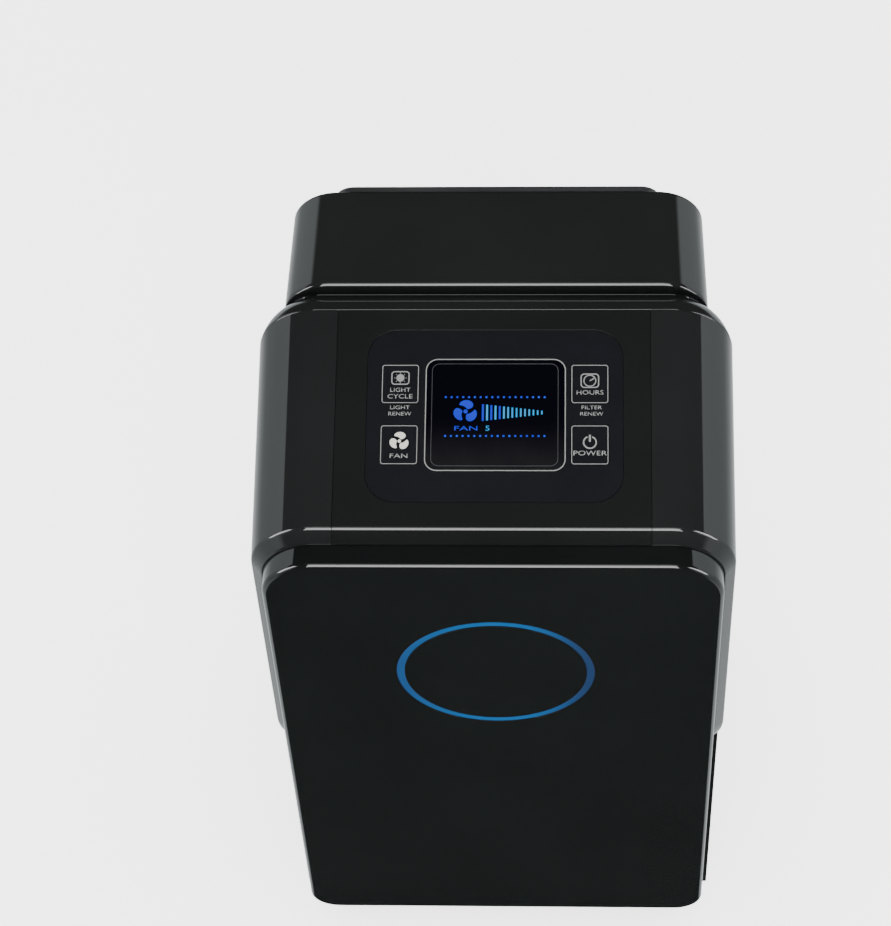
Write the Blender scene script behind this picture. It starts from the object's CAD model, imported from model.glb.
"""Looks of the console air purifier: shells, light ring, control panel, finishes and studio."""
import logging
import math
from dataclasses import dataclass, field
from enum import Enum
from typing import Any, Callable, Iterable, Optional, Sequence

import bmesh
import bpy
from mathutils import Matrix, Vector


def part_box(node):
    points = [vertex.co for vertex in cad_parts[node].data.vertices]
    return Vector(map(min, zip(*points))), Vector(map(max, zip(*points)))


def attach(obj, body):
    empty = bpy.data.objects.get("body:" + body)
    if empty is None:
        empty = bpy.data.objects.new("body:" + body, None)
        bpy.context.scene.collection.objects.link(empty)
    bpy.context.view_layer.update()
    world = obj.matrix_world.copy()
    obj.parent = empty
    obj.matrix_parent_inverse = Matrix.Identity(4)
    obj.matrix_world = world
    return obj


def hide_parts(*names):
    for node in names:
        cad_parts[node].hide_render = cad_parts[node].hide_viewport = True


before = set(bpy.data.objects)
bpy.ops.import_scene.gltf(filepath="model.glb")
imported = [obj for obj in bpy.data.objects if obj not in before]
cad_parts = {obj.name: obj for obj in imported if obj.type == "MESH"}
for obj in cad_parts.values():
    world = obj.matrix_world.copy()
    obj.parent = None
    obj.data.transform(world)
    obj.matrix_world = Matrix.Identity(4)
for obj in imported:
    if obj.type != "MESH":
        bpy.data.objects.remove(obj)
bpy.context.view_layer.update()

LOG = logging.getLogger("air_purifier")
MM = 0.001
NEAR = 2e-6

Point = tuple[float, float, float]


def low(node: str) -> Vector:
    """Lowest corner of a CAD node's box."""
    return Vector(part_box(node)[0])


def high(node: str) -> Vector:
    """Highest corner of a CAD node's box."""
    return Vector(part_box(node)[1])


# ---------------------------------------------------------------- shader maths
class Wire:
    """A shader value that takes part in Python arithmetic."""

    def __init__(self, shade: "Graph", socket: bpy.types.NodeSocket) -> None:
        """Keep the material and the output socket that carries the value.

        Args:
            shade: The material that the value belongs to.
            socket: The output socket.
        """
        self.shade = shade
        self.socket = socket

    def _math(self, operation: str, first: Any, second: Any) -> "Wire":
        """Add one Math node.

        Args:
            operation: Its operation.
            first: The left value.
            second: The right value.

        Returns:
            The result.
        """
        return self.shade.node("ShaderNodeMath", {"operation": operation}, {0: first, 1: second})

    def __add__(self, other: Any) -> "Wire":
        """Sum."""
        return self._math("ADD", self, other)

    __radd__ = __add__

    def __sub__(self, other: Any) -> "Wire":
        """Difference."""
        return self._math("SUBTRACT", self, other)

    def __rsub__(self, other: Any) -> "Wire":
        """Difference with the value on the right."""
        return self._math("SUBTRACT", other, self)

    def __mul__(self, other: Any) -> "Wire":
        """Product."""
        return self._math("MULTIPLY", self, other)

    __rmul__ = __mul__

    def __gt__(self, other: Any) -> "Wire":
        """One where this value is larger, zero elsewhere."""
        return self._math("GREATER_THAN", self, other)


class Graph:
    """A node tree under construction."""

    def __init__(self, tree: bpy.types.NodeTree) -> None:
        """Keep the tree.

        Args:
            tree: The node tree.
        """
        self.tree = tree

    def node(self, kind: str, settings: Optional[dict] = None, values: Optional[dict] = None,
             out: Any = 0) -> Wire:
        """Add any node.

        Args:
            kind: The node's type.
            settings: Its own settings, set first; a ramp's stops go under "stops".
            values: Values or wires for its input sockets.
            out: The output wanted.

        Returns:
            That output as a wire.
        """
        made = self.tree.nodes.new(kind)
        for key, value in (settings or {}).items():
            if key == "stops":
                self._stops(made, value)
            else:
                setattr(made, key, value)
        for key, value in (values or {}).items():
            self.feed(made.inputs[key], value)
        return Wire(self, made.outputs[out])

    @staticmethod
    def _stops(made: bpy.types.Node, stops: Sequence[tuple[float, Sequence[float]]]) -> None:
        """Set a colour ramp's stops.

        Args:
            made: The ramp's node.
            stops: Place and colour of each stop, in order.
        """
        ramp = made.color_ramp
        while len(ramp.elements) < len(stops):
            ramp.elements.new(0.5)
        for element, (place, colour) in zip(ramp.elements, stops):
            element.position = place
            element.color = (*colour, 1.0)

    def feed(self, socket: bpy.types.NodeSocket, value: Any) -> None:
        """Link a wire to a socket, or set the socket's own value.

        Args:
            socket: The input socket.
            value: A wire, a number or a colour.
        """
        if isinstance(value, Wire):
            self.tree.links.new(value.socket, socket)
        elif hasattr(socket.default_value, "__len__") and len(socket.default_value) == 4:
            socket.default_value = (*value, 1.0) if len(value) == 3 else value
        else:
            socket.default_value = value

    def blend(self, share: Any, first: Any, second: Any) -> Wire:
        """Mix two colours."""
        mix = self.tree.nodes.new("ShaderNodeMix")
        mix.data_type = "RGBA"
        self.feed(mix.inputs[0], share)
        self.feed(mix.inputs[6], first)
        self.feed(mix.inputs[7], second)
        return Wire(self, mix.outputs[2])

    def ramp(self, value: Wire, start: float, end: float) -> Wire:
        """Zero before the start, one past the end, smooth between them."""
        return self.node("ShaderNodeMapRange", {"interpolation_type": "SMOOTHSTEP"},
                         {"Value": value, "From Min": start, "From Max": end})


class Shade(Graph):
    """One material under construction."""

    def __init__(self, name: str) -> None:
        """Start a material with its surface shader and its place on the object.

        Args:
            name: The material's name.
        """
        self.material = bpy.data.materials.new(name)
        self.material.use_nodes = True
        super().__init__(self.material.node_tree)
        self.surface = next(n for n in self.tree.nodes if n.type == "BSDF_PRINCIPLED")
        self.where = self.node("ShaderNodeTexCoord", out="Object")

    def set(self, **values: Any) -> None:
        """Set the surface shader's sockets; underscores stand for spaces in their names."""
        for key, value in values.items():
            self.feed(self.surface.inputs[key.replace("_", " ")], value)

    def noise(self, scale: float, detail: float = 2.0, where: Optional[Wire] = None) -> Wire:
        """Soft noise over the object.

        Args:
            scale: Features to the metre.
            detail: Octaves.
            where: Coordinates, or the object's own.

        Returns:
            The noise, from zero to one.
        """
        return self.node("ShaderNodeTexNoise", None,
                         {"Vector": where or self.where, "Scale": scale, "Detail": detail})

    def spread(self, value: Wire, lowest: float, highest: float) -> Wire:
        """Stretch a zero-to-one value over a range."""
        return self.node("ShaderNodeMapRange", None,
                         {"Value": value, "From Min": 0.3, "From Max": 0.7,
                          "To Min": lowest, "To Max": highest})

    def bump(self, height: Wire, depth: float, strength: float = 1.0) -> None:
        """Relief on the surface.

        Args:
            height: The relief, from zero to one.
            depth: Its depth in metres.
            strength: How strongly it shows.
        """
        self.set(Normal=self.node("ShaderNodeBump", None,
                                  {"Height": height, "Distance": depth, "Strength": strength}))


@dataclass(frozen=True)
class Finish:
    """A surface finish; each kind says how its shader is built."""

    name: str
    colour: Point

    def dress(self, shade: Shade) -> None:
        """Build the shader.

        Args:
            shade: The material to build.
        """
        shade.set(Base_Color=self.colour)

    def material(self) -> bpy.types.Material:
        """The finish's material, made once."""
        name = "finish_" + self.name
        known = bpy.data.materials.get(name)
        if known is None:
            shade = Shade(name)
            self.dress(shade)
            known = shade.material
        return known


@dataclass(frozen=True)
class GlossyPlastic(Finish):
    """Moulded gloss: near mirror-smooth, with faint flow ripple and handling haze."""

    roughness: float = 0.055
    ripple: float = 0.012

    def dress(self, shade: Shade) -> None:
        """Build the shader.

        Args:
            shade: The material to build.
        """
        haze = shade.noise(9.0, 4.0)
        dust = shade.noise(900.0, 1.0)
        speck = (dust > 0.74) * 0.02
        tone = shade.blend(shade.spread(haze, 0.0, 1.0), self.colour,
                           tuple(c * 1.25 for c in self.colour))
        shade.set(Base_Color=tone, Specular_IOR_Level=0.5, Coat_IOR=1.5,
                  Roughness=shade.spread(haze, self.roughness * 0.8, self.roughness * 1.4) + speck)
        shade.bump(shade.noise(38.0, 1.0), self.ripple * MM, 0.6)


@dataclass(frozen=True)
class GrainedPlastic(Finish):
    """Moulded satin or matt plastic with a fine spark-eroded grain."""

    roughness: float = 0.45
    grain: float = 1400.0
    depth: float = 0.05

    def dress(self, shade: Shade) -> None:
        """Build the shader.

        Args:
            shade: The material to build.
        """
        grain = shade.noise(self.grain, 3.0)
        patch = shade.noise(14.0, 3.0)
        shade.set(Base_Color=shade.blend(shade.spread(patch, 0.0, 1.0), self.colour,
                                         tuple(c * 1.18 + 0.001 for c in self.colour)),
                  Roughness=shade.spread(patch, self.roughness - 0.05, self.roughness + 0.06))
        shade.bump(grain, self.depth * MM, 0.7)


@dataclass(frozen=True)
class PrintedFilm(Finish):
    """Matt printed sheet with a sparkle of fine blue-grey grain."""

    fleck: Point = (0.0046, 0.0054, 0.0092)
    roughness: float = 0.42

    def dress(self, shade: Shade) -> None:
        """Build the shader.

        Args:
            shade: The material to build.
        """
        grain = shade.noise(1500.0, 2.0)
        cloud = shade.noise(22.0, 2.0)
        share = shade.spread(grain, 0.0, 0.55) * shade.spread(cloud, 0.45, 1.0)
        shade.set(Base_Color=shade.blend(share, self.colour, self.fleck), Specular_IOR_Level=0.15,
                  Roughness=shade.spread(grain, self.roughness - 0.08, self.roughness + 0.1))
        shade.bump(grain, 0.02 * MM, 0.6)


@dataclass(frozen=True)
class TintedLens(Finish):
    """Dark polished lens with a faint veil over the lower part of the glass behind it."""

    veil: Point = (0.0068, 0.0068, 0.0078)
    veil_from: float = 0.0
    veil_to: float = 1.0

    def dress(self, shade: Shade) -> None:
        """Build the shader.

        Args:
            shade: The material to build.
        """
        cloud = shade.noise(16.0, 3.0)
        dust = shade.noise(1100.0, 1.0)
        depth = shade.node("ShaderNodeSeparateXYZ", None, {"Vector": shade.where}, out=1)
        share = shade.spread(cloud, 0.4, 1.0) * shade.ramp(depth, self.veil_from, self.veil_to)
        shade.set(Base_Color=shade.blend(share, self.colour, self.veil),
                  Roughness=shade.spread(cloud, 0.03, 0.07) + (dust > 0.73) * 0.12)


@dataclass(frozen=True)
class Glow(Finish):
    """Lit plastic: a colour that shines, uneven along its length."""

    far: Point = (0.0, 0.2, 0.8)
    strength: float = 1.0
    patch: float = 30.0
    roughness: float = 0.35

    def dress(self, shade: Shade) -> None:
        """Build the shader.

        Args:
            shade: The material to build.
        """
        share = shade.spread(shade.noise(self.patch, 1.0), 0.0, 1.0)
        tone = shade.blend(share, self.colour, self.far)
        shade.set(Base_Color=tuple(c * 0.03 for c in self.colour), Roughness=self.roughness,
                  Specular_IOR_Level=0.1, Emission_Color=tone, Emission_Strength=self.strength)


@dataclass(frozen=True)
class RingGlow(Glow):
    """Light ring: brightest at its top and foot, deeper blue at its sides, dimmest on the right."""

    dimmest: Point = (0.018, 0.044, 0.115)
    centre: Point = (0.0, 0.0, 0.0)
    radius: float = 0.07

    def dress(self, shade: Shade) -> None:
        """Build the shader.

        Args:
            shade: The material to build.
        """
        moved = shade.node("ShaderNodeMapping", None,
                           {"Vector": shade.where, "Location": tuple(-c for c in self.centre)})
        across = shade.node("ShaderNodeSeparateXYZ", None, {"Vector": moved}) * (1.0 / self.radius)
        ripple = shade.spread(shade.noise(60.0, 1.0), 0.92, 1.08)
        tone = shade.blend(across * across * ripple, self.colour, self.far)
        tone = shade.blend(shade.ramp(across, 0.35, 1.05), tone, self.dimmest)
        shade.set(Base_Color=tuple(c * 0.05 for c in self.far), Roughness=0.22,
                  Specular_IOR_Level=0.3, Emission_Color=tone, Emission_Strength=self.strength)


@dataclass(frozen=True)
class Metal(Finish):
    """Metal with drawn or cast texture."""

    roughness: float = 0.3
    metallic: float = 1.0
    drawn: float = 8.0

    def dress(self, shade: Shade) -> None:
        """Build the shader.

        Args:
            shade: The material to build.
        """
        along = shade.node("ShaderNodeMapping", None,
                           {"Vector": shade.where, "Scale": (1.0, 1.0, 1.0 / self.drawn)})
        brush = shade.noise(1200.0, 3.0, along)
        shade.set(Base_Color=shade.blend(shade.spread(brush, 0.0, 1.0), self.colour,
                                         tuple(c * 0.8 for c in self.colour)),
                  Metallic=self.metallic,
                  Roughness=shade.spread(brush, self.roughness * 0.8, self.roughness * 1.3))
        shade.bump(brush, 0.02 * MM, 0.5)


@dataclass(frozen=True)
class Woven(Finish):
    """Open woven sheet of fine threads."""

    pitch: float = 1.2
    gap: Point = (0.004, 0.004, 0.004)

    def dress(self, shade: Shade) -> None:
        """Build the shader.

        Args:
            shade: The material to build.
        """
        bands = []
        for direction in ("X", "Z"):
            bands.append(shade.node("ShaderNodeTexWave", {"bands_direction": direction},
                                    {"Vector": shade.where, "Scale": 0.314 / (self.pitch * MM) / 2,
                                     "Distortion": 0.0}, out=1))
        threads = shade.node("ShaderNodeMath", {"operation": "MAXIMUM"}, {0: bands[0], 1: bands[1]})
        shade.set(Base_Color=shade.blend(threads, self.gap, self.colour), Roughness=0.8)
        shade.bump(threads, 0.3 * MM, 0.8)


@dataclass(frozen=True)
class Fibrous(Finish):
    """Soft fibrous or granular filter media."""

    speckle: float = 700.0
    dark: float = 0.7

    def dress(self, shade: Shade) -> None:
        """Build the shader.

        Args:
            shade: The material to build.
        """
        fibre = shade.noise(self.speckle, 5.0)
        cloud = shade.noise(25.0, 3.0)
        shade.set(Base_Color=shade.blend(shade.spread(fibre, 0.0, 1.0),
                                         tuple(c * self.dark for c in self.colour), self.colour),
                  Roughness=shade.spread(cloud, 0.82, 0.95))
        shade.bump(fibre, 0.25 * MM, 0.8)


@dataclass(frozen=True)
class Lacquered(Finish):
    """Circuit board lacquer with traces under it."""

    trace: Point = (0.05, 0.22, 0.10)

    def dress(self, shade: Shade) -> None:
        """Build the shader.

        Args:
            shade: The material to build.
        """
        cells = shade.node("ShaderNodeTexVoronoi", {"distance": "CHEBYCHEV"},
                           {"Vector": shade.where, "Scale": 160.0})
        lines = cells > 0.42
        shade.set(Base_Color=shade.blend(lines, self.colour, self.trace),
                  Roughness=shade.spread(shade.noise(90.0), 0.25, 0.4), Coat_Weight=0.3)
        shade.bump(lines, 0.03 * MM, 0.6)


@dataclass(frozen=True)
class LampGlass(Finish):
    """Frosted quartz tube."""

    def dress(self, shade: Shade) -> None:
        """Build the shader.

        Args:
            shade: The material to build.
        """
        frost = shade.noise(120.0, 3.0)
        shade.set(Base_Color=self.colour, Roughness=shade.spread(frost, 0.08, 0.22),
                  Transmission_Weight=0.35, IOR=1.46)
        shade.bump(frost, 0.02 * MM, 0.4)


@dataclass(frozen=True)
class Paper(Finish):
    """Plain matt backdrop paper, lifted towards white."""

    lift: float = 2.2

    def dress(self, shade: Shade) -> None:
        """Build the shader.

        Args:
            shade: The material to build.
        """
        shade.set(Base_Color=self.colour, Roughness=1.0, Specular_IOR_Level=0.0,
                  Emission_Color=(1.0, 1.0, 1.0), Emission_Strength=self.lift)


BLACK: Point = (0.0047, 0.0051, 0.0050)
SHELL = GlossyPlastic("shell_gloss", BLACK)
COLLAR = GlossyPlastic("collar_gloss", (0.0066, 0.0071, 0.0072))
REAR = GlossyPlastic("rear_gloss", (0.0062, 0.0067, 0.0066))
DOOR = GlossyPlastic("door_gloss", (0.0030, 0.0036, 0.0035))
PANEL = GrainedPlastic("panel_satin_black", (0.012, 0.0125, 0.013), roughness=0.38)
BAY = GrainedPlastic("bay_dark_grey", (0.045, 0.047, 0.05), roughness=0.55)
INNER = GrainedPlastic("inner_grey", (0.10, 0.10, 0.10), roughness=0.6)
WHITE = GrainedPlastic("moulded_white", (0.74, 0.74, 0.71), roughness=0.42)
FAN = GrainedPlastic("fan_charcoal", (0.07, 0.07, 0.075), roughness=0.45)
SOCKET = GrainedPlastic("inlet_black", (0.015, 0.015, 0.015), roughness=0.5)
RUBBER = GrainedPlastic("foot_rubber", (0.02, 0.02, 0.02), roughness=0.8, grain=700.0, depth=0.12)
FILM = PrintedFilm("overlay_film", (0.0013, 0.0017, 0.0029))
LENS = TintedLens("display_lens", (0.0007, 0.0005, 0.0018),
                  veil_from=(low("display_window").y + high("display_window").y) / 2,
                  veil_to=low("display_window").y)
INK = GrainedPlastic("printed_ink", (0.13, 0.13, 0.127), roughness=0.5, depth=0.01)
INK_BRIGHT = GrainedPlastic("printed_ink_bright", (0.42, 0.405, 0.36), roughness=0.5, depth=0.01)
STEEL = Metal("screw_steel", (0.56, 0.56, 0.57), roughness=0.32)
PIN = Metal("pin_plated", (0.80, 0.77, 0.70), roughness=0.2)
ALLOY = Metal("reflector_alloy", (0.86, 0.86, 0.87), roughness=0.14, drawn=30.0)
CASE = Metal("case_grey", (0.33, 0.34, 0.35), roughness=0.45, metallic=0.6)
BRASS = Metal("nut_brass", (0.72, 0.56, 0.28), roughness=0.3)
MESH = Woven("prefilter_weave", (0.05, 0.05, 0.052))
MEDIA = Fibrous("filter_media", (0.86, 0.86, 0.82), dark=0.88)
CARBON = Fibrous("carbon_granules", (0.035, 0.035, 0.037), speckle=420.0, dark=0.25)
BOARD = Lacquered("board_lacquer", (0.012, 0.11, 0.045))
TUBE = LampGlass("lamp_quartz", (0.88, 0.91, 0.95))
LCD_BLUE = Glow("display_blue", (0.010, 0.035, 0.70), far=(0.018, 0.055, 0.85))
LCD_CYAN = Glow("display_cyan", (0.012, 0.30, 0.80), far=(0.04, 0.46, 0.95))
LCD_DOT = Glow("display_dots", (0.012, 0.04, 0.70), far=(0.03, 0.12, 1.1), patch=220.0)
LCD_BACK = Glow("display_backlight", (0.002, 0.003, 0.02), far=(0.003, 0.005, 0.03))

NODE_FINISHES: dict[str, Finish] = {
    "control_overlay": FILM, "uv_mode_key": FILM, "speed_key": FILM, "timer_key": FILM,
    "power_key": FILM, "display_window": LENS, "lcd_module": LCD_BACK, "lcd_holder": INNER,
    "control_board": BOARD, "tact_switches": INNER, "board_screws": STEEL,
    "housing_screws": STEEL, "rear_panel": PANEL, "panel_screws": STEEL, "outlet_grille": PANEL,
    "hand_grip": PANEL, "mains_inlet": SOCKET, "mains_pins": PIN, "power_board": BOARD,
    "filter_bay": BAY, "catch_plates": STEEL, "interlock_switch": INNER,
    "interlock_plunger": WHITE, "fan_bulkhead": BAY, "base_plinth": PANEL, "rubber_feet": RUBBER,
    "ring_led_board": BOARD, "door_magnets": STEEL, "prefilter_frame": BAY,
    "prefilter_mesh": MESH, "hepa_frame": WHITE, "hepa_pleats": MEDIA, "hepa_gasket": RUBBER,
    "carbon_frame": BAY, "carbon_block": CARBON, "uv_lamp_left": TUBE, "uv_lamp_right": TUBE,
    "lamp_reflector_left": ALLOY, "lamp_reflector_right": ALLOY, "lamp_holders": WHITE,
    "uv_ballast": CASE, "scroll_housing": BAY, "scroll_cover": BAY, "impeller": FAN,
    "motor_shaft": STEEL, "impeller_nut": BRASS, "motor_case": CASE, "motor_bracket": CASE,
    "motor_grommets": RUBBER, "motor_screws": STEEL,
}


# ---------------------------------------------------------------- modelling bench
class Kind(Enum):
    """What is picked in edit mode."""

    VERTS = "VERT"
    EDGES = "EDGE"
    FACES = "FACE"


class Model:
    """An object shaped by edit-mode operators."""

    def __init__(self, obj: bpy.types.Object) -> None:
        """Keep the object.

        Args:
            obj: A mesh object.
        """
        self.obj = obj

    @classmethod
    def plate(cls, name: str, width: float, height: float, centre: Point,
              turn: Point = (math.pi / 2, 0.0, 0.0)) -> "Model":
        """A flat rectangle, facing -Y unless it is turned otherwise.

        Args:
            name: The object's name.
            width: Size along its first side.
            height: Size along its second side.
            centre: Its middle.
            turn: Euler angles of the plane.

        Returns:
            The model.
        """
        bpy.ops.object.select_all(action="DESELECT")
        bpy.ops.mesh.primitive_plane_add(size=1.0, location=centre, rotation=turn)
        obj = bpy.context.object
        obj.name = name
        obj.scale = (width, height, 1.0)
        bpy.ops.object.transform_apply(location=True, rotation=True, scale=True)
        return cls(obj)

    @classmethod
    def block(cls, name: str, lowest: Sequence[float], highest: Sequence[float]) -> "Model":
        """A box between two corners.

        Args:
            name: The object's name.
            lowest: Its lowest corner.
            highest: Its highest corner.

        Returns:
            The model.
        """
        a, b = Vector(lowest), Vector(highest)
        bpy.ops.object.select_all(action="DESELECT")
        bpy.ops.mesh.primitive_cube_add(size=1.0, location=(a + b) / 2)
        obj = bpy.context.object
        obj.name = name
        obj.scale = b - a
        bpy.ops.object.transform_apply(location=True, rotation=True, scale=True)
        return cls(obj)

    @classmethod
    def disc(cls, name: str, radius: float, centre: Point, sides: int = 32,
             turn: Point = (0.0, 0.0, 0.0)) -> "Model":
        """A filled flat disc.

        Args:
            name: The object's name.
            radius: Its radius.
            centre: Its middle.
            sides: Corners round the rim.
            turn: Euler angles of the disc.

        Returns:
            The model.
        """
        bpy.ops.object.select_all(action="DESELECT")
        bpy.ops.mesh.primitive_circle_add(vertices=sides, radius=radius, fill_type="NGON",
                                          location=centre, rotation=turn)
        obj = bpy.context.object
        obj.name = name
        bpy.ops.object.transform_apply(location=True, rotation=True, scale=True)
        return cls(obj)

    def _edit(self) -> None:
        """Select this object alone and enter edit mode."""
        bpy.ops.object.select_all(action="DESELECT")
        self.obj.select_set(True)
        bpy.context.view_layer.objects.active = self.obj
        bpy.ops.object.mode_set(mode="EDIT")

    def work(self, kind: Kind, test: Callable[[Any], bool], *steps: Callable[[], Any]) -> "Model":
        """Pick elements by a test, then run operators on them.

        Args:
            kind: What is picked.
            test: Says whether an element is picked.
            steps: The operators, as calls with no arguments.

        Returns:
            This model.
        """
        self._edit()
        bpy.ops.mesh.select_mode(type=kind.value)
        bpy.ops.mesh.select_all(action="DESELECT")
        mesh = bmesh.from_edit_mesh(self.obj.data)
        rows = {Kind.VERTS: mesh.verts, Kind.EDGES: mesh.edges, Kind.FACES: mesh.faces}[kind]
        picked = [element for element in rows if test(element)]
        for element in picked:
            element.select_set(True)
        mesh.select_flush_mode()
        bmesh.update_edit_mesh(self.obj.data)
        if picked:
            for step in steps:
                step()
        bpy.ops.object.mode_set(mode="OBJECT")
        return self

    def extrude(self, vector: Point, test: Callable[[Any], bool] = lambda f: True) -> "Model":
        """Extrude picked faces as one region."""
        return self.work(Kind.FACES, test, lambda: bpy.ops.mesh.extrude_region_move(
            TRANSFORM_OT_translate={"value": vector}))

    def move(self, vector: Point, test: Callable[[Any], bool] = lambda v: True) -> "Model":
        """Shift picked vertices."""
        return self.work(Kind.VERTS, test, lambda: bpy.ops.transform.translate(value=vector))

    def grow(self, factors: Point, centre: Point,
             test: Callable[[Any], bool] = lambda v: True) -> "Model":
        """Scale picked vertices about a point."""
        return self.work(Kind.VERTS, test, lambda: bpy.ops.transform.resize(
            value=factors, center_override=centre))

    def bevel(self, width: float, segments: int, test: Callable[[Any], bool],
              corners: bool = False) -> "Model":
        """Round picked edges, or the corners of a flat plate."""
        kind = Kind.VERTS if corners else Kind.EDGES
        affect = "VERTICES" if corners else "EDGES"
        return self.work(kind, test, lambda: bpy.ops.mesh.bevel(
            offset=width, segments=segments, affect=affect, clamp_overlap=False))

    def inset(self, thickness: float, depth: float, test: Callable[[Any], bool]) -> "Model":
        """Inset picked faces, and lift the inner ones out by a depth."""
        return self.work(Kind.FACES, test, lambda: bpy.ops.mesh.inset(
            thickness=thickness, depth=depth, use_even_offset=True))

    def cut(self, point: Point, normal: Point, drop_behind: bool = False,
            drop_front: bool = False, fill: bool = False) -> "Model":
        """Bisect everything by a plane.

        Args:
            point: A point of the plane.
            normal: The plane's normal.
            drop_behind: Remove what lies behind the normal.
            drop_front: Remove what lies in front.
            fill: Close the cut.

        Returns:
            This model.
        """
        return self.work(Kind.FACES, lambda f: True, lambda: bpy.ops.mesh.bisect(
            plane_co=point, plane_no=normal, clear_inner=drop_behind, clear_outer=drop_front,
            use_fill=fill))

    def drop(self, test: Callable[[Any], bool]) -> "Model":
        """Delete picked faces."""
        return self.work(Kind.FACES, test, lambda: bpy.ops.mesh.delete(type="FACE"))

    def tidy(self) -> "Model":
        """Merge doubles and turn every face outwards."""
        return self.work(Kind.VERTS, lambda v: True,
                         lambda: bpy.ops.mesh.remove_doubles(threshold=NEAR),
                         lambda: bpy.ops.mesh.normals_make_consistent(inside=False))

    def modify(self, kind: str, **settings: Any) -> "Model":
        """Add a modifier and apply it.

        Args:
            kind: The modifier's type.
            settings: Its settings.

        Returns:
            This model.
        """
        bpy.ops.object.select_all(action="DESELECT")
        self.obj.select_set(True)
        bpy.context.view_layer.objects.active = self.obj
        modifier = self.obj.modifiers.new(kind.lower(), kind)
        for key, value in settings.items():
            setattr(modifier, key, value)
        bpy.ops.object.modifier_apply(modifier=modifier.name)
        return self

    def shell(self, wall: float) -> "Model":
        """Give an open skin a wall, inwards."""
        return self.modify("SOLIDIFY", thickness=wall, offset=-1.0, use_even_offset=True)

    def soften(self, width: float, segments: int = 2, angle: float = 40.0) -> "Model":
        """Round every edge sharper than an angle."""
        return self.modify("BEVEL", width=width, segments=segments, limit_method="ANGLE",
                           angle_limit=math.radians(angle), harden_normals=False)

    def carve(self, *cutters: "Model") -> "Model":
        """Subtract other models, which are used up."""
        for cutter in cutters:
            self.modify("BOOLEAN", object=cutter.obj, operation="DIFFERENCE", solver="EXACT")
            bpy.data.objects.remove(cutter.obj)
        return self

    def join(self, *others: "Model") -> "Model":
        """Merge other models into this one."""
        bpy.ops.object.select_all(action="DESELECT")
        for other in others:
            other.obj.select_set(True)
        self.obj.select_set(True)
        bpy.context.view_layer.objects.active = self.obj
        bpy.ops.object.join()
        return self

    def warp(self, change: Callable[[Vector], Vector]) -> "Model":
        """Move every vertex by a rule."""
        self._edit()
        mesh = bmesh.from_edit_mesh(self.obj.data)
        for vert in mesh.verts:
            vert.co = change(vert.co)
        bmesh.update_edit_mesh(self.obj.data)
        bpy.ops.object.mode_set(mode="OBJECT")
        return self

    def place(self, matrix: Matrix) -> "Model":
        """Put the mesh itself at a place."""
        self.obj.data.transform(matrix)
        return self

    def smooth(self, angle: float = 32.0) -> "Model":
        """Smooth shading with true flats."""
        bpy.ops.object.select_all(action="DESELECT")
        self.obj.select_set(True)
        bpy.context.view_layer.objects.active = self.obj
        bpy.ops.object.shade_smooth_by_angle(angle=math.radians(angle))
        return self.modify("WEIGHTED_NORMAL", weight=100, keep_sharp=True)

    def settle(self, body: str, slot: str, finish: Finish, *nodes: str) -> "Model":
        """Dress the piece, put it on its body and say what it stands for.

        Args:
            body: The body it rides on.
            slot: Its material slot in the record.
            finish: Its finish.
            nodes: The CAD nodes that it replaces.

        Returns:
            This model.
        """
        self.obj.data.materials.clear()
        self.obj.data.materials.append(finish.material())
        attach(self.obj, body)
        if nodes:
            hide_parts(*nodes)
        LOG.info("%s: %d faces on %s", self.obj.name, len(self.obj.data.polygons), body)
        return self


@dataclass
class Ring:
    """One outline of an arch-shaped shell: flat foot, straight sides, round top corners."""

    y: float
    half: float
    top: float
    radius: float


class ArchLoft(Model):
    """A solid drawn through a row of arch outlines, front to back."""

    def __init__(self, name: str, first: Ring, bottom: float, segments: int = 24) -> None:
        """Start with the first outline as a flat plate.

        Args:
            name: The object's name.
            first: The first outline.
            bottom: The height of the flat foot.
            segments: Facets in each round corner.
        """
        plate = Model.plate(name, 2 * first.half, first.top - bottom,
                            (0.0, first.y, (first.top + bottom) / 2))
        super().__init__(plate.obj)
        self.at = first
        self.middle = (first.top + bottom) / 2
        self.bevel(first.radius, segments, lambda v: v.co.z > self.middle, corners=True)

    def through(self, ring: Ring) -> "ArchLoft":
        """Carry the solid on to the next outline.

        Args:
            ring: That outline.

        Returns:
            This model.
        """
        old, y0 = self.at, self.at.y
        self.extrude((0.0, ring.y - y0, 0.0), lambda f: all(abs(v.co.y - y0) < NEAR for v in f.verts))

        def here(v: Any) -> bool:
            """Vertices of the new outline."""
            return abs(v.co.y - ring.y) < NEAR

        shift = (ring.half - ring.radius) - (old.half - old.radius)
        lift = (ring.top - ring.radius) - (old.top - old.radius)
        ratio = ring.radius / old.radius
        for side in (-1.0, 1.0):
            def corner(v: Any, side: float = side) -> bool:
                """Vertices of one round corner."""
                return here(v) and v.co.x * side > 0 and v.co.z > self.middle

            def foot(v: Any, side: float = side) -> bool:
                """The foot's vertex on one side."""
                return here(v) and v.co.x * side > 0 and v.co.z < self.middle

            self.move((side * shift, 0.0, lift), corner)
            centre = (side * (ring.half - ring.radius), ring.y, ring.top - ring.radius)
            self.grow((ratio, 1.0, ratio), centre, corner)
            self.move((side * (ring.half - old.half), 0.0, 0.0), foot)
        self.at = ring
        return self


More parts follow.
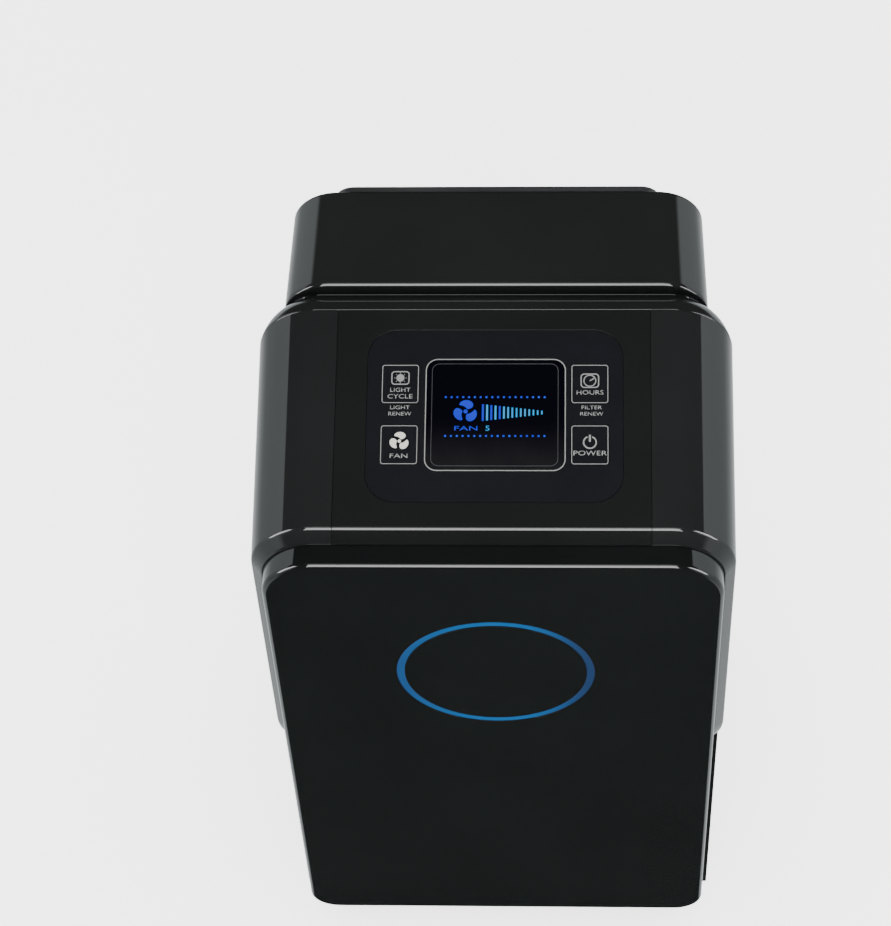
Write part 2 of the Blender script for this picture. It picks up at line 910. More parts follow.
# ---------------------------------------------------------------- the object's shape, from the frame
@dataclass(frozen=True)
class Layout:
    """Planes and sizes shared by the sub-assemblies, worked out from the frame."""

    slope: float = math.radians(12.6)
    lip_run: float = 7.3 * MM
    lip_rise: float = 10.1 * MM
    wing_bevel: float = 8.0 * MM
    shoulder_r: float = 50.0 * MM
    flange: float = 8.0 * MM
    shoulder_run: float = 28.7 * MM
    shoulder_drop: float = 20.1 * MM
    shoulder_inset: float = 18.0 * MM
    shoulder_top_r: float = 31.0 * MM
    hood_rise: float = 12.8 * MM
    hood_r: float = 36.0 * MM
    hood_taper: float = 2.6 * MM
    wall: float = 2.8 * MM

    @property
    def half(self) -> float:
        """Half the collar's width."""
        return high("head_collar").x

    @property
    def y_lip(self) -> float:
        """Depth of the collar's front plane."""
        return low("head_collar").y

    @property
    def y_top_lip(self) -> float:
        """Depth of the control face's front edge."""
        return self.y_lip + self.lip_run

    @property
    def y_seam(self) -> float:
        """Depth of the seam behind the control face."""
        return high("head_collar").y

    @property
    def z_top(self) -> float:
        """Height of the control face's back edge."""
        return high("head_collar").z

    @property
    def z_top_lip(self) -> float:
        """Height of the control face's front edge."""
        return self.z_top - (self.y_seam - self.y_top_lip) * math.tan(self.slope)

    @property
    def z_lip(self) -> float:
        """Height of the lip's lower edge."""
        return self.z_top_lip - self.lip_rise

    @property
    def z_wing(self) -> float:
        """Height of the wings' lower ends."""
        return low("head_collar").z

    @property
    def panel(self) -> Matrix:
        """Axes of the control face: across, up the slope, out of the face."""
        turn = Matrix.Rotation(self.slope, 4, "X")
        return Matrix.Translation((0.0, self.y_top_lip, self.z_top_lip)) @ turn

    def on_panel(self, node: str) -> Vector:
        """Middle of a node in the control face's axes.

        Args:
            node: The CAD node.

        Returns:
            Its middle.
        """
        return self.panel.inverted() @ ((low(node) + high(node)) / 2)


@dataclass
class HeadCollar:
    """The inverted-U shell and the control insert let into its middle."""

    layout: Layout
    wall: float = 3.0 * MM
    insert_wall: float = 2.5 * MM
    gap: float = 0.3 * MM
    edge: float = 1.5 * MM
    lip_edge: float = 1.2 * MM
    end_run: float = 6.0 * MM
    end_rise: float = 20.0 * MM
    end_steps: int = 6

    def form(self, name: str, shrink: float) -> ArchLoft:
        """The collar's skin over its top, sides and lip, open behind and below.

        Args:
            name: The object's name.
            shrink: How far it lies inside the outer skin.

        Returns:
            The open skin.
        """
        lay = self.layout
        bottom = lay.z_wing - 40 * MM
        slant = shrink * math.hypot(lay.lip_run, lay.lip_rise) / lay.lip_run
        drop = shrink / math.cos(lay.slope)
        half, radius = lay.half - shrink, lay.shoulder_r - shrink
        skin = ArchLoft(name, Ring(lay.y_lip, lay.half - lay.wing_bevel - slant, lay.z_lip - slant,
                                   radius - lay.wing_bevel), bottom)
        skin.through(Ring(lay.y_top_lip, half, lay.z_top_lip - drop, radius))
        skin.through(Ring(lay.y_seam, half, lay.z_top - drop, radius))
        skin.tidy()
        skin.drop(lambda f: f.normal.z < -0.9 or f.normal.y > 0.9)
        return skin

    def round_edges(self, skin: Model) -> None:
        """Round the front edge of the control face and the lip's lower edge.

        Args:
            skin: The collar's skin.
        """
        lay = self.layout
        skin.bevel(self.edge, 5, lambda e: all(abs(v.co.y - lay.y_top_lip) < NEAR for v in e.verts))

    def make_collar(self) -> None:
        """Build the collar around the insert's seat."""
        lay = self.layout
        seat = high("control_insert").x + self.gap
        skin = self.form("collar_shell", 0.0)
        self.round_edges(skin)
        front = lay.y_lip + NEAR
        skin.inset(lay.flange, 0.0, lambda f: f.normal.y < -0.9)
        skin.bevel(self.lip_edge, 4, lambda e: all(v.co.y < front for v in e.verts)
                   and any(abs(f.normal.y) < 0.9 for f in e.link_faces))
        inner_top = lay.z_lip - lay.flange
        skin.drop(lambda f: f.normal.y < -0.9 and len(f.verts) > 6
                  and f.calc_center_median().z < inner_top - 20 * MM)
        for x in (-seat, seat):
            skin.cut((x, 0.0, 0.0), (1.0, 0.0, 0.0))
        skin.drop(lambda f: abs(f.calc_center_median().x) < seat and f.normal.z > 0.1)
        skin.cut((0.0, 0.0, lay.z_wing), (0.0, 0.0, 1.0), drop_behind=True)
        self.round_wing_ends(skin)
        skin.shell(self.wall)
        sunk = self.form("collar_seat", self.insert_wall + self.gap)
        sunk.drop(lambda f: f.normal.y < -0.9)
        for x in (-seat - self.wall, seat + self.wall):
            sunk.cut((x, 0.0, 0.0), (1.0, 0.0, 0.0), drop_behind=x < 0, drop_front=x > 0)
        sunk.shell(self.wall)
        pocket = Model.plate("pocket", 186 * MM, 133 * MM, (lay.on_panel("control_overlay").x,
                             lay.on_panel("control_overlay").y, 2 * MM), (0.0, 0.0, 0.0))
        pocket.extrude((0.0, 0.0, -14 * MM)).tidy().place(lay.panel)
        sunk.carve(pocket)
        skin.join(sunk).soften(0.5 * MM)
        skin.smooth().settle("cabinet", "shell_black", COLLAR, "head_collar")

    def round_wing_ends(self, skin: Model) -> None:
        """Draw the lower ends of the wings inwards in a quarter ellipse.

        Args:
            skin: The collar's skin, already cut off at the wings' ends.
        """
        lay = self.layout
        angles = [math.pi / 2 * k / self.end_steps for k in range(self.end_steps)]
        heights = [lay.z_wing + self.end_rise * (1 - math.cos(a)) for a in angles]
        for z in heights[1:]:
            skin.cut((0.0, 0.0, z), (0.0, 0.0, 1.0))
        skin.cut((0.0, 0.0, lay.z_wing + self.end_rise), (0.0, 0.0, 1.0))
        outer = lay.half - lay.wing_bevel - NEAR
        for angle, z in zip(reversed(angles), heights):
            run = self.end_run * (1 - math.cos(angle + math.pi / 2 / self.end_steps))
            for side in (-1.0, 1.0):
                skin.move((-side * run, 0.0, 0.0), lambda v, z=z, side=side:
                          abs(v.co.z - z) < NEAR and v.co.x * side > outer)

    def make_insert(self) -> None:
        """Build the control insert with its pockets."""
        lay = self.layout
        side = high("control_insert").x
        skin = self.form("control_insert_plate", 0.0)
        self.round_edges(skin)
        skin.drop(lambda f: f.normal.y < -0.9)
        for x in (-side, side):
            skin.cut((x, 0.0, 0.0), (1.0, 0.0, 0.0), drop_behind=x < 0, drop_front=x > 0)
        skin.shell(self.insert_wall)
        for node, deep, spare in (("control_overlay", 0.8, 0.3), ("display_window", 2.0, 0.15),
                                  ("uv_mode_key", 9.0, -1.0), ("speed_key", 9.0, -1.0),
                                  ("timer_key", 9.0, -1.0), ("power_key", 9.0, -1.0)):
            skin.carve(self.pocket(node, deep * MM, spare * MM))
        skin.soften(0.8 * MM)
        skin.smooth().settle("cabinet", "shell_black", SHELL, "control_insert")

    def pocket(self, node: str, deep: float, spare: float) -> Model:
        """A cutter for the room of a node in the control face.

        Args:
            node: The CAD node.
            deep: Depth of the room.
            spare: Room left round the node.

        Returns:
            The cutter.
        """
        lay = self.layout
        middle = lay.on_panel(node)
        size = high(node) - low(node)
        length = (size.y - 12 * MM * math.sin(lay.slope) * (deep > 5 * MM)) / math.cos(lay.slope)
        cutter = Model.plate("cutter", size.x + 2 * spare, length + 2 * spare,
                             (middle.x, middle.y, 3 * MM), (0.0, 0.0, 0.0))
        radius = {"control_overlay": 22.0, "display_window": 9.0}.get(node, 1.8) * MM
        cutter.bevel(radius, 10, lambda v: True, corners=True)
        cutter.extrude((0.0, 0.0, -3 * MM - deep)).tidy().place(lay.panel)
        return cutter


@dataclass
class RearHousing:
    """The convex shoulder behind the control face and the tall hood."""

    layout: Layout
    steps: int = 8
    seam_edge: float = 1.6 * MM
    crease: float = 2.6 * MM
    edge: float = 4.0 * MM
    gap: float = 0.3 * MM

    def make(self) -> None:
        """Build the rear shell."""
        lay = self.layout
        foot = low("rear_housing").z
        bottom = foot - 30 * MM
        y0 = lay.y_seam + self.gap
        y_hood = lay.y_seam + lay.shoulder_run
        hood_half = lay.half - lay.shoulder_inset
        z_shoulder = lay.z_top - lay.shoulder_drop
        skin = ArchLoft("rear_shell", Ring(y0, lay.half, lay.z_top, lay.shoulder_r), bottom)
        for k in range(1, self.steps + 1):
            t = k / self.steps
            bend = 0.5 * t + 0.5 * t ** 2.2
            skin.through(Ring(y0 + (y_hood - y0) * t, lay.half - lay.shoulder_inset * bend,
                              lay.z_top - lay.shoulder_drop * bend,
                              lay.shoulder_r + (lay.shoulder_top_r - lay.shoulder_r) * t))
        z_hood = z_shoulder + lay.hood_rise
        for k in range(6):
            a = math.pi / 2 * k / 5
            fall = self.edge * (1 - math.sin(a))
            skin.through(Ring(y_hood + 0.01 * MM + self.edge * (1 - math.cos(a)), hood_half,
                              z_hood - fall, lay.hood_r - fall))
        y_back = high("rear_housing").y
        for k in range(6):
            a = math.pi / 2 * (5 - k) / 5
            fall = self.edge * (1 - math.sin(a))
            skin.through(Ring(y_back - self.edge * (1 - math.cos(a)),
                              hood_half - lay.hood_taper - fall, z_hood - fall, lay.hood_r - fall))
        skin.tidy()
        front = y0 + NEAR
        skin.bevel(self.seam_edge, 4, lambda e: all(v.co.y < front for v in e.verts))
        skin.drop(lambda f: all(v.co.y < front for v in f.verts))
        skin.bevel(self.crease, 5, lambda e: all(abs(v.co.y - y_hood) < NEAR for v in e.verts))
        self.step_in(skin, hood_half)
        skin.cut((0.0, 0.0, foot), (0.0, 0.0, 1.0), drop_behind=True, fill=True)
        skin.tidy().shell(lay.wall)
        skin.carve(*self.openings())
        skin.soften(0.5 * MM)
        skin.smooth().settle("cabinet", "shell_black", REAR, "rear_housing")

    def step_in(self, skin: Model, hood_half: float) -> None:
        """Narrow the shoulder below the wings' ends to the front housing's width.

        Args:
            skin: The rear skin.
            hood_half: Half the hood's width.
        """
        lay = self.layout
        z = lay.z_wing
        ratio = (high("front_housing").x - hood_half) / (lay.half - hood_half)
        for height in (z, z - 0.4 * MM):
            skin.cut((0.0, 0.0, height), (0.0, 0.0, 1.0))
        for side in (-1.0, 1.0):
            skin.grow((ratio, 1.0, 1.0), (side * hood_half, 0.0, 0.0),
                      lambda v, side=side: v.co.z < z - 0.2 * MM and v.co.x * side > hood_half)

    def openings(self) -> list[Model]:
        """Cutters for the grille, the hand grip and the mains inlet in the back wall."""
        cutters = []
        for node in ("outlet_grille", "hand_grip", "mains_inlet"):
            a, b = low(node), high(node)
            spare = Vector((self.gap, 0.0, self.gap))
            a.y = high("rear_housing").y - 12 * MM
            b.y = high("rear_housing").y + 5 * MM
            cutters.append(Model.block("cutter_" + node, a - spare, b + spare))
        return cutters


@dataclass
class FrontHousing:
    """The body inside the wings, seen below them and through the air gap."""

    layout: Layout
    wall: float = 3.0 * MM
    radius: float = 46.6 * MM

    def make(self) -> None:
        """Build the ring-shaped body."""
        a, b = low("front_housing"), high("front_housing")
        skin = ArchLoft("front_body", Ring(a.y, b.x, b.z, self.radius), a.z, segments=16)
        skin.through(Ring(b.y, b.x, b.z, self.radius)).tidy()
        skin.drop(lambda f: abs(f.normal.y) > 0.9)
        skin.shell(self.wall).soften(0.7 * MM, 3)
        skin.smooth().settle("cabinet", "shell_black", SHELL, "front_housing")


@dataclass
class FrontDoor:
    """The door with its rounded edges, ribs, bosses and light ring."""

    layout: Layout
    top_r: float = 42.0 * MM
    foot_r: float = 24.0 * MM
    edge: float = 4.4 * MM
    wall: float = 2.8 * MM
    sink: float = 0.4 * MM
    depth: float = 18.5 * MM
    ring_r: float = 73.1 * MM
    stroke: float = 6.0 * MM

    def make(self) -> None:
        """Build the door's shell with its ribs and bosses."""
        a, b = low("front_door"), high("front_door")
        middle = (a.z + b.z) / 2
        door = Model.plate("door_shell", 2 * b.x, b.z - a.z, (0.0, a.y, middle))
        door.bevel(self.top_r, 20, lambda v: v.co.z > middle, corners=True)
        door.bevel(self.foot_r, 14, lambda v: v.co.z < middle and abs(v.co.x) > b.x - NEAR, corners=True)
        door.extrude((0.0, self.depth, 0.0)).tidy()
        front = a.y + NEAR
        door.bevel(self.edge, 7, lambda e: all(v.co.y < front for v in e.verts))
        door.drop(lambda f: f.normal.y > 0.9)
        door.shell(self.wall)
        door.carve(self.groove())
        door.soften(0.35 * MM)
        door.join(*self.ribs(), *self.bosses())
        door.smooth().settle("door", "shell_black", DOOR, "front_door")

    def centre(self) -> Point:
        """Middle of the light ring on the door's face."""
        a, b = low("ring_light_guide"), high("ring_light_guide")
        return (0.0, low("front_door").y, (a.z + b.z) / 2)

    def ring(self, name: str, inner: float, outer: float, y0: float, y1: float) -> Model:
        """A flat ring round the light ring's centre.

        Args:
            name: The object's name.
            inner: Inner radius.
            outer: Outer radius.
            y0: Its front.
            y1: Its back.

        Returns:
            The ring.
        """
        x, _, z = self.centre()
        ring = Model.disc(name, outer, (x, y0, z), 96, (math.pi / 2, 0.0, 0.0))
        ring.inset(outer - inner, 0.0, lambda f: True)
        ring.drop(lambda f: len(f.verts) > 4)
        ring.extrude((0.0, y1 - y0, 0.0)).tidy()
        return ring

    def groove(self) -> Model:
        """Cutter for the ring's groove."""
        face = low("front_door").y
        half = self.stroke / 2
        return self.ring("groove", self.ring_r - half, self.ring_r + half, face - MM, face + 2.0 * MM)

    def make_ring(self) -> None:
        """Build the glowing ring in its groove."""
        face = low("front_door").y
        half = self.stroke / 2 - 0.1 * MM
        ring = self.ring("light_ring", self.ring_r - half, self.ring_r + half,
                         face + self.sink, face + 1.95 * MM)
        ring.bevel(0.7 * MM, 4, lambda e: all(v.co.y < face + self.sink + NEAR for v in e.verts)
                   and any(abs(f.normal.y) < 0.5 for f in e.link_faces))
        glow = RingGlow("ring_blue", (0.016, 0.148, 0.42), far=(0.018, 0.085, 0.25),
                        centre=self.centre(), radius=self.ring_r)
        ring.smooth().settle("door", "ring_blue", glow, "ring_light_guide")

    def ribs(self) -> list[Model]:
        """Stiffening ribs on the back of the skin."""
        a, b = low("front_door"), high("front_door")
        y0, y1 = a.y + self.wall - 0.2 * MM, a.y + 10 * MM
        x0, x1 = a.x + 3 * MM, b.x - 3 * MM
        z0, z1 = a.z + 3 * MM, b.z - 3 * MM
        ring = self.centre()[2]
        made = []
        for x in (-110 * MM, 110 * MM):
            made.append(Model.block("rib", (x - MM, y0, z0), (x + MM, y1, z1)))
        for z in (a.z + 110 * MM, a.z + 220 * MM, ring - self.ring_r - 24 * MM, b.z - 35 * MM):
            made.append(Model.block("rib", (x0, y0, z - MM), (x1, y1, z + MM)))
        for rib in made:
            rib.bevel(0.5 * MM, 2, lambda e: all(v.co.y > y1 - NEAR for v in e.verts))
        return made

    def bosses(self) -> list[Model]:
        """Round posts that carry the magnets."""
        a, b = low("front_door"), high("front_door")
        magnets = (low("door_magnets"), high("door_magnets"))
        made = []
        for x in (magnets[0].x + 5 * MM, magnets[1].x - 5 * MM):
            for z in (magnets[0].z + 5 * MM, magnets[1].z - 5 * MM):
                post = Model.disc("boss", 8 * MM, (x, a.y + self.wall - 0.2 * MM, z), 32,
                                  (math.pi / 2, 0.0, 0.0))
                post.extrude((0.0, b.y - a.y - self.wall, 0.0)).tidy()
                end = post.obj.bound_box[6][1] - NEAR
                post.inset(2.9 * MM, 0.0, lambda f: f.normal.y > 0.9)
                post.inset(0.0, -3 * MM, lambda f: f.normal.y > 0.9
                           and f.calc_area() < math.pi * (5.3 * MM) ** 2 and len(f.verts) > 6)
                post.bevel(0.5 * MM, 2, lambda e: all(v.co.y > end for v in e.verts)
                           and any(abs(f.normal.y) < 0.2 for f in e.link_faces))
                made.append(post)
        return made


# ---------------------------------------------------------------- marks on the control panel
@dataclass
class Marks:
    """Printed and lit marks: thin sheets that lie just above the control face."""

    layout: Layout
    lift: float = 0.04 * MM
    sheet: float = 0.05 * MM
    line: float = 0.6 * MM
    key_length: float = 31.0 * MM
    bars: int = 15

    def frame_line(self, name: str, x: float, s: float, width: float, length: float,
                   radius: float, line: float) -> Model:
        """A rounded rectangle drawn as a line.

        Args:
            name: The object's name.
            x: Middle across.
            s: Middle up the slope.
            width: Outer width.
            length: Outer length.
            radius: Outer corner radius.
            line: The line's width.

        Returns:
            The mark, still flat in the panel's axes.
        """
        mark = Model.plate(name, width, length, (x, s, self.lift), (0.0, 0.0, 0.0))
        mark.bevel(radius, 8, lambda v: True, corners=True)
        mark.inset(line, 0.0, lambda f: True)
        mark.drop(lambda f: len(f.verts) > 4)
        return mark

    def word(self, text: str, x: float, s: float, height: float, stretch: float = 1.15) -> Model:
        """A word in plain capitals.

        Args:
            text: The word.
            x: Its middle across.
            s: Its foot, up the slope.
            height: Height of its capitals.
            stretch: Width factor.

        Returns:
            The mark, flat in the panel's axes.
        """
        bpy.ops.object.select_all(action="DESELECT")
        bpy.ops.object.text_add(location=(0.0, 0.0, 0.0))
        obj = bpy.context.object
        obj.data.body = text
        obj.data.align_x = "CENTER"
        obj.data.size = height / 0.73
        obj.data.resolution_u = 4
        obj.data.offset = 0.015 * MM
        obj.name = "word_" + text.lower()
        bpy.ops.object.convert(target="MESH")
        obj.scale = (stretch, 1.0, 1.0)
        obj.location = (x, s, self.lift)
        bpy.ops.object.transform_apply(location=True, rotation=True, scale=True)
        return Model(obj)

    def blade(self, x: float, s: float, size: float, turn: float) -> Model:
        """One swept blade of a fan icon.

        Args:
            x: The icon's middle across.
            s: The icon's middle up the slope.
            size: The icon's radius.
            turn: Where the blade points, in radians.

        Returns:
            The mark.
        """
        mark = Model.disc("blade", 1.0, (0.0, 0.0, 0.0), 40)

        def sweep(co: Vector) -> Vector:
            """Bend the disc into a comma that hugs the rim."""
            angle = math.radians(49.0) * co.x
            radius = 0.63 + 0.10 * co.x + (0.33 - 0.13 * co.x) * co.y
            return Vector((radius * math.cos(angle), radius * math.sin(angle), 0.0))

        mark.warp(sweep)
        mark.place(Matrix.Translation((x, s, self.lift)) @ Matrix.Rotation(turn, 4, "Z")
                   @ Matrix.Scale(size, 4))
        return mark

    def fan(self, x: float, s: float, size: float) -> list[Model]:
        """A fan icon: three blades round a hub."""
        blades = [self.blade(x, s, size, math.radians(82) - k * math.tau / 3) for k in range(3)]
        return blades + [Model.disc("hub", 0.17 * size, (x, s, self.lift), 20)]

    def arc(self, x: float, s: float, radius: float, line: float, cut: float = 0.0) -> Model:
        """A round line, with an optional gap at its top.

        Args:
            x: Middle across.
            s: Middle up the slope.
            radius: Outer radius.
            line: The line's width.
            cut: Width of the gap.

        Returns:
            The mark.
        """
        mark = Model.disc("round_line", radius, (x, s, self.lift), 48)
        mark.inset(line, 0.0, lambda f: True)
        mark.drop(lambda f: len(f.verts) > 4)
        if cut:
            mark.drop(lambda f: abs(f.calc_center_median().x - x) < cut / 2
                      and f.calc_center_median().y > s)
        return mark

    def bar(self, x: float, s: float, width: float, length: float, turn: float = 0.0) -> Model:
        """A short bar with clipped corners.

        Args:
            x: Middle across.
            s: Middle up the slope.
            width: Its width.
            length: Its length.
            turn: Its turn in radians.

        Returns:
            The mark.
        """
        mark = Model.plate("bar", width, length, (0.0, 0.0, 0.0), (0.0, 0.0, 0.0))
        mark.bevel(0.2 * min(width, length), 2, lambda v: True, corners=True)
        mark.place(Matrix.Translation((x, s, self.lift)) @ Matrix.Rotation(turn, 4, "Z"))
        return mark

    def lay(self, name: str, parts: Sequence[Model], body: str, slot: str, finish: Finish) -> None:
        """Join marks into one piece and lay it on the control face.

        Args:
            name: The piece's name.
            parts: Its marks.
            body: The body it rides on.
            slot: Its material slot.
            finish: Its finish.
        """
        first, *rest = parts
        first.join(*rest)
        first.obj.name = name
        first.modify("SOLIDIFY", thickness=self.sheet, offset=0.0)
        first.tidy().place(self.layout.panel)
        first.settle(body, slot, finish)

    def key_frame(self, key: str) -> Model:
        """The printed frame round a key's face."""
        middle = self.layout.on_panel(key)
        size = high(key) - low(key)
        return self.frame_line("frame", middle.x, self.key_s(key), size.x - 3.4 * MM,
                               30.6 * MM, 2.0 * MM, self.line)

    def key_s(self, key: str) -> float:
        """Middle of a key's face, up the slope."""
        rise = high(key).z - self.layout.z_top_lip
        return rise / math.sin(self.layout.slope) - self.key_length / 2

    def make_keys(self) -> None:
        """Print the four keys."""
        place = {key: (self.layout.on_panel(key).x, self.key_s(key))
                 for key in ("uv_mode_key", "speed_key", "timer_key", "power_key")}
        x, s = place["uv_mode_key"]
        top = s + 4.8 * MM
        lamp = [self.key_frame("uv_mode_key"),
                self.frame_line("lamp_box", x, top, 13.6 * MM, 11.0 * MM, 2.6 * MM, 0.9 * MM),
                Model.disc("lamp", 3.0 * MM, (x, top, self.lift), 24)]
        for k in range(8):
            a = k * math.tau / 8
            lamp.append(self.bar(x + 4.2 * MM * math.cos(a), top + 3.9 * MM * math.sin(a),
                                 0.9 * MM, 0.5 * MM, a))
        lamp += [self.word("LIGHT", x, s - 6.3 * MM, 3.5 * MM),
                 self.word("CYCLE", x, s - 11.6 * MM, 3.7 * MM, 1.25)]
        self.lay("uv_mode_marks", lamp, "uv_mode_key", "overlay_print", INK)
        x, s = place["speed_key"]
        fan = self.fan(x + 0.3 * MM, s + 2.9 * MM, 7.6 * MM)
        self.lay("speed_icon", fan, "speed_key", "overlay_print", INK_BRIGHT)
        self.lay("speed_marks", [self.key_frame("speed_key"),
                                 self.word("FAN", x, s - 10.4 * MM, 3.6 * MM, 1.5)],
                 "speed_key", "overlay_print", INK)
        x, s = place["timer_key"]
        top = s + 2.6 * MM
        dial = [self.key_frame("timer_key"),
                self.frame_line("dial_box", x, top, 13.8 * MM, 11.6 * MM, 2.8 * MM, 0.9 * MM),
                self.arc(x, top, 4.8 * MM, 0.8 * MM),
                self.bar(x + 2.0 * MM, top + 1.2 * MM, 5.0 * MM, 0.9 * MM, math.radians(32)),
                self.word("HOURS", x, s - 8.4 * MM, 3.6 * MM, 1.25)]
        self.lay("timer_marks", dial, "timer_key", "overlay_print", INK)
        x, s = place["power_key"]
        top = s + 2.6 * MM
        power = [self.key_frame("power_key"),
                 self.arc(x, top - 0.6 * MM, 5.2 * MM, 1.1 * MM, 3.6 * MM),
                 self.bar(x, top + 2.6 * MM, 1.5 * MM, 5.6 * MM),
                 self.word("POWER", x, s - 8.2 * MM, 3.9 * MM, 1.35)]
        self.lay("power_marks", power, "power_key", "overlay_print", INK)
        reset = []
        for key, words in (("uv_mode_key", ("LIGHT", "RENEW")), ("timer_key", ("FILTER", "RENEW"))):
            x, s = place[key]
            reset.append(self.word(words[0], x + 1.2 * MM * (x > 0), s - 20.2 * MM, 3.1 * MM, 1.25))
            reset.append(self.word(words[1], x + 1.2 * MM * (x > 0), s - 25.2 * MM, 3.1 * MM, 1.2))
        self.lay("reset_marks", reset, "cabinet", "overlay_print", INK)

    def make_display(self) -> None:
        """Draw the window's outline and the lit display."""
        middle = self.layout.on_panel("display_window")
        size = high("display_window") - low("display_window")
        length = 88.9 * MM
        line = self.frame_line("window_line", middle.x, middle.y, size.x + 0.4 * MM, length + 0.4 * MM,
                               9.2 * MM, 0.8 * MM)
        self.lay("window_outline", [line], "cabinet", "overlay_print", INK)
        faint = self.frame_line("inner_line", middle.x - 0.4 * MM, middle.y, 94 * MM, 81.8 * MM,
                                5.8 * MM, 0.55 * MM)
        edge = GrainedPlastic("window_inner_edge", (0.016, 0.017, 0.019), roughness=0.4)
        self.lay("window_inner_line", [faint], "cabinet", "display_lens", edge)
        x, s = middle.x, middle.y
        fan_x, fan_s = x - 22.0 * MM, s + 2.5 * MM
        self.lay("display_fan", self.fan(fan_x, fan_s, 9.5 * MM) +
                 [self.word("FAN", x - 21.6 * MM, s - 12.6 * MM, 3.7 * MM, 1.9)],
                 "cabinet", "lcd_glass", LCD_BLUE)
        bars = []
        for k in range(self.bars):
            t = k / (self.bars - 1)
            bars.append(self.bar(x - 9.2 * MM + 43.6 * MM * t, s + 1.6 * MM,
                                 (1.5 - 0.35 * t) * MM, (13.4 - 10.4 * t) * MM))
        head = self.bars // 3
        self.lay("display_bars_blue", bars[:head:2], "cabinet", "lcd_glass", LCD_BLUE)
        self.lay("display_bars", bars[1:head:2] + bars[head:] +
                 [self.word("5", x - 5.6 * MM, s - 12.8 * MM, 4.2 * MM, 1.3)],
                 "cabinet", "lcd_glass", LCD_CYAN)
        dots = []
        for row in (13.9 * MM, -17.0 * MM):
            for k in range(18):
                dots.append(self.bar(x - 36.8 * MM + 73.2 * MM * k / 17, s + row, 1.5 * MM, 1.5 * MM))
        self.lay("display_dots", dots, "cabinet", "lcd_glass", LCD_DOT)


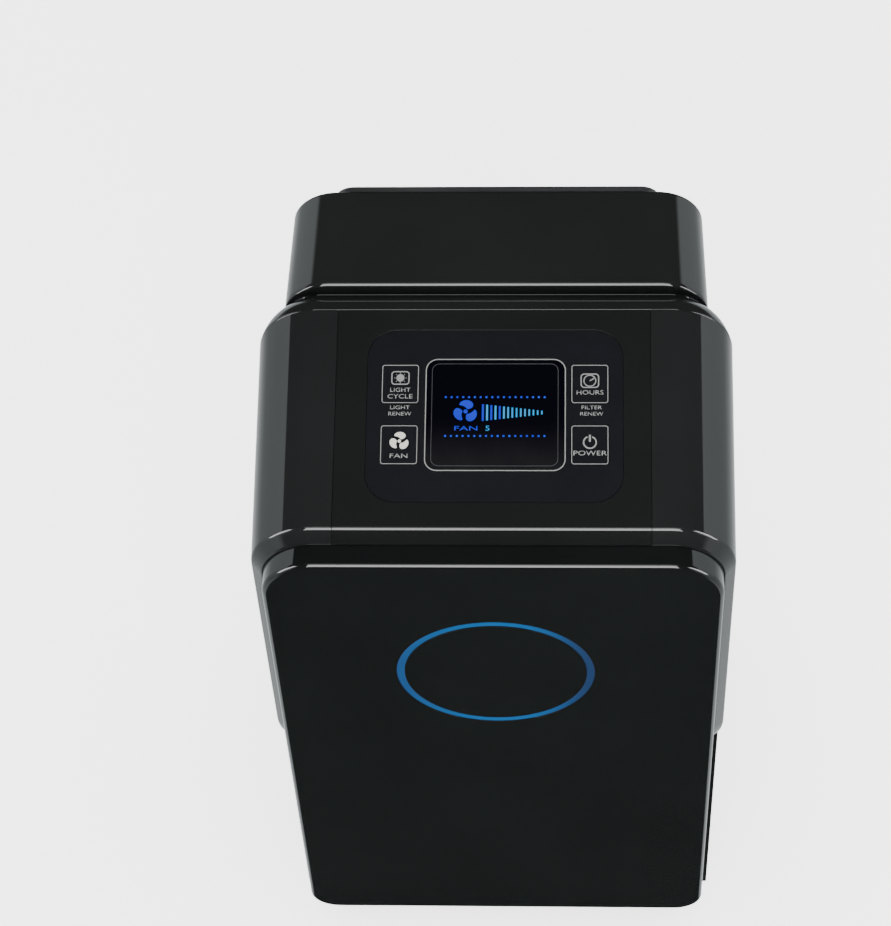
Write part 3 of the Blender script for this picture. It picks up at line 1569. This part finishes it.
# ---------------------------------------------------------------- studio
@dataclass
class Studio:
    """Pale floor, soft lights, and the camera above and in front of the machine."""

    layout: Layout
    yaw: float = math.radians(4.555)
    fall: float = math.radians(56.204)
    roll: float = math.radians(3.714)
    lens: float = 118.26
    eye: Point = (64.47 * MM, -1181.61 * MM, 1878.05 * MM)
    ceiling: float = 0.53
    front_from: float = 0.20
    front_to: float = 0.02
    wall: float = 0.8
    rise: float = 0.9
    dim: float = 0.035
    horizon: float = 3.8

    def camera(self) -> None:
        """Place the camera relative to the middle of the lip."""
        data = bpy.data.cameras.new("camera")
        data.lens = self.lens
        data.sensor_width = 36.0
        data.clip_start, data.clip_end = 0.05, 60.0
        obj = bpy.data.objects.new("camera", data)
        bpy.context.scene.collection.objects.link(obj)
        lip = Vector((0.0, self.layout.y_lip, self.layout.z_lip))
        obj.location = lip + Vector(self.eye)
        turn = (Matrix.Rotation(self.yaw, 3, "Z") @ Matrix.Rotation(math.pi / 2 - self.fall, 3, "X")
                @ Matrix.Rotation(-self.roll, 3, "Z"))
        obj.rotation_mode = "QUATERNION"
        obj.rotation_quaternion = turn.to_quaternion()
        bpy.context.scene.camera = obj

    def floor(self) -> None:
        """Lay a wide pale floor."""
        plane = Model.plate("floor", 16.0, 16.0, (0.0, 0.0, -0.2 * MM), (0.0, 0.0, 0.0))
        plane.obj.data.materials.append(Paper("floor_paper", (0.94, 0.94, 0.94)).material())
        plane.obj.visible_glossy = False

    def light(self, name: str, place: Point, aim: Point, size: tuple[float, float], power: float,
              shiny: bool = True, soft: bool = True) -> None:
        """Add a rectangular soft light.

        Args:
            name: The light's name.
            place: Its middle.
            aim: The point that it faces.
            size: Its width and height.
            power: Its power in watts.
            shiny: Whether it shows in reflections.
            soft: Whether it lights matt surfaces.
        """
        data = bpy.data.lights.new(name, "AREA")
        data.shape = "RECTANGLE"
        data.size, data.size_y = size
        data.energy = power
        obj = bpy.data.objects.new(name, data)
        bpy.context.scene.collection.objects.link(obj)
        obj.location = place
        obj.rotation_mode = "QUATERNION"
        obj.rotation_quaternion = (Vector(aim) - Vector(place)).to_track_quat("-Z", "Y")
        obj.visible_glossy = shiny
        obj.visible_diffuse = soft
        obj.visible_camera = False

    def lights(self) -> None:
        """Light the machine for edge reflections, and the floor from above."""
        middle = (0.0, 0.0, 0.65)
        self.light("top_fill", (0.0, 0.2, 3.6), (0.0, 0.0, 0.0), (5.0, 5.0), 210.0, shiny=False)
        self.light("front_box", (0.0, -2.18, 2.48), middle, (1.9, 2.0), 145.0, soft=False)
        self.light("front_fill", (0.0, -3.2, 2.2), middle, (3.0, 2.0), 170.0, shiny=False)
        self.light("ceiling_card", (0.0, -0.95, 3.6), middle, (2.4, 0.7), 14.0, soft=False)
        for side in (-1.0, 1.0):
            self.light("corner_box", (side * 2.5, -1.15, 1.8), middle, (0.9, 2.1), 80.0, soft=False)

    def world(self) -> None:
        """White surroundings for the eye; dark front, back and ceiling flags in reflections."""
        world = bpy.data.worlds.new("studio")
        bpy.context.scene.world = world
        world.use_nodes = True
        room = Graph(world.node_tree)
        back = next(n for n in room.tree.nodes if n.type == "BACKGROUND")
        way = room.node("ShaderNodeTexCoord", out="Generated")
        x, y, z = (room.node("ShaderNodeSeparateXYZ", None, {"Vector": way}, out=k) for k in range(3))
        aside = room.node("ShaderNodeMath", {"operation": "ABSOLUTE"}, {0: x})
        middle = room.ramp(aside + room.ramp(z, -0.35, -0.5) * 0.25, 0.66, 0.56)
        hidden = room.node("ShaderNodeMath", {"operation": "MAXIMUM"},
                           {0: room.ramp(y, self.front_from, self.front_to),
                            1: room.ramp(z, -0.35, -0.2)})
        shown = (1.0 - (z > self.ceiling)) * (1.0 - middle * hidden)
        glossy = room.node("ShaderNodeLightPath", out="Is Glossy Ray")
        level = room.node("ShaderNodeMath", {"operation": "ABSOLUTE"}, {0: z + 0.3})
        near, far = self.wall, self.wall + self.rise
        wall = room.blend(level, (0.94 * near, near, 1.02 * near), (0.94 * far, far, 1.02 * far))
        tone = room.blend(shown, (self.dim,) * 3, wall)
        seen = room.node("ShaderNodeLightPath", out="Is Camera Ray")
        plain = room.blend(seen, (0.95, 0.95, 0.95), (self.horizon,) * 3)
        room.feed(back.inputs["Color"], room.blend(glossy, plain, tone))

    def make(self) -> None:
        """Set everything up."""
        self.camera()
        self.floor()
        self.lights()
        self.world()


def dress_nodes(shown: Iterable[str]) -> None:
    """Give each CAD node that stays its finish.

    Args:
        shown: Names of the nodes.
    """
    for name in shown:
        finish = NODE_FINISHES.get(name)
        if finish is None:
            continue
        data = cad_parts[name].data
        material = finish.material()
        if data.materials:
            for index in range(len(data.materials)):
                data.materials[index] = material
        else:
            data.materials.append(material)
        LOG.info("%s: dressed in %s", name, finish.name)


def main() -> None:
    """Build the machine's looks, then the studio."""
    logging.basicConfig(level=logging.INFO, format="%(name)s %(message)s")
    layout = Layout()
    Studio(layout).make()
    collar = HeadCollar(layout)
    collar.make_collar()
    collar.make_insert()
    RearHousing(layout).make()
    FrontHousing(layout).make()
    door = FrontDoor(layout)
    door.make()
    door.make_ring()
    marks = Marks(layout)
    marks.make_keys()
    marks.make_display()
    dress_nodes(sorted(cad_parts))


if __name__ == "__main__":
    main()
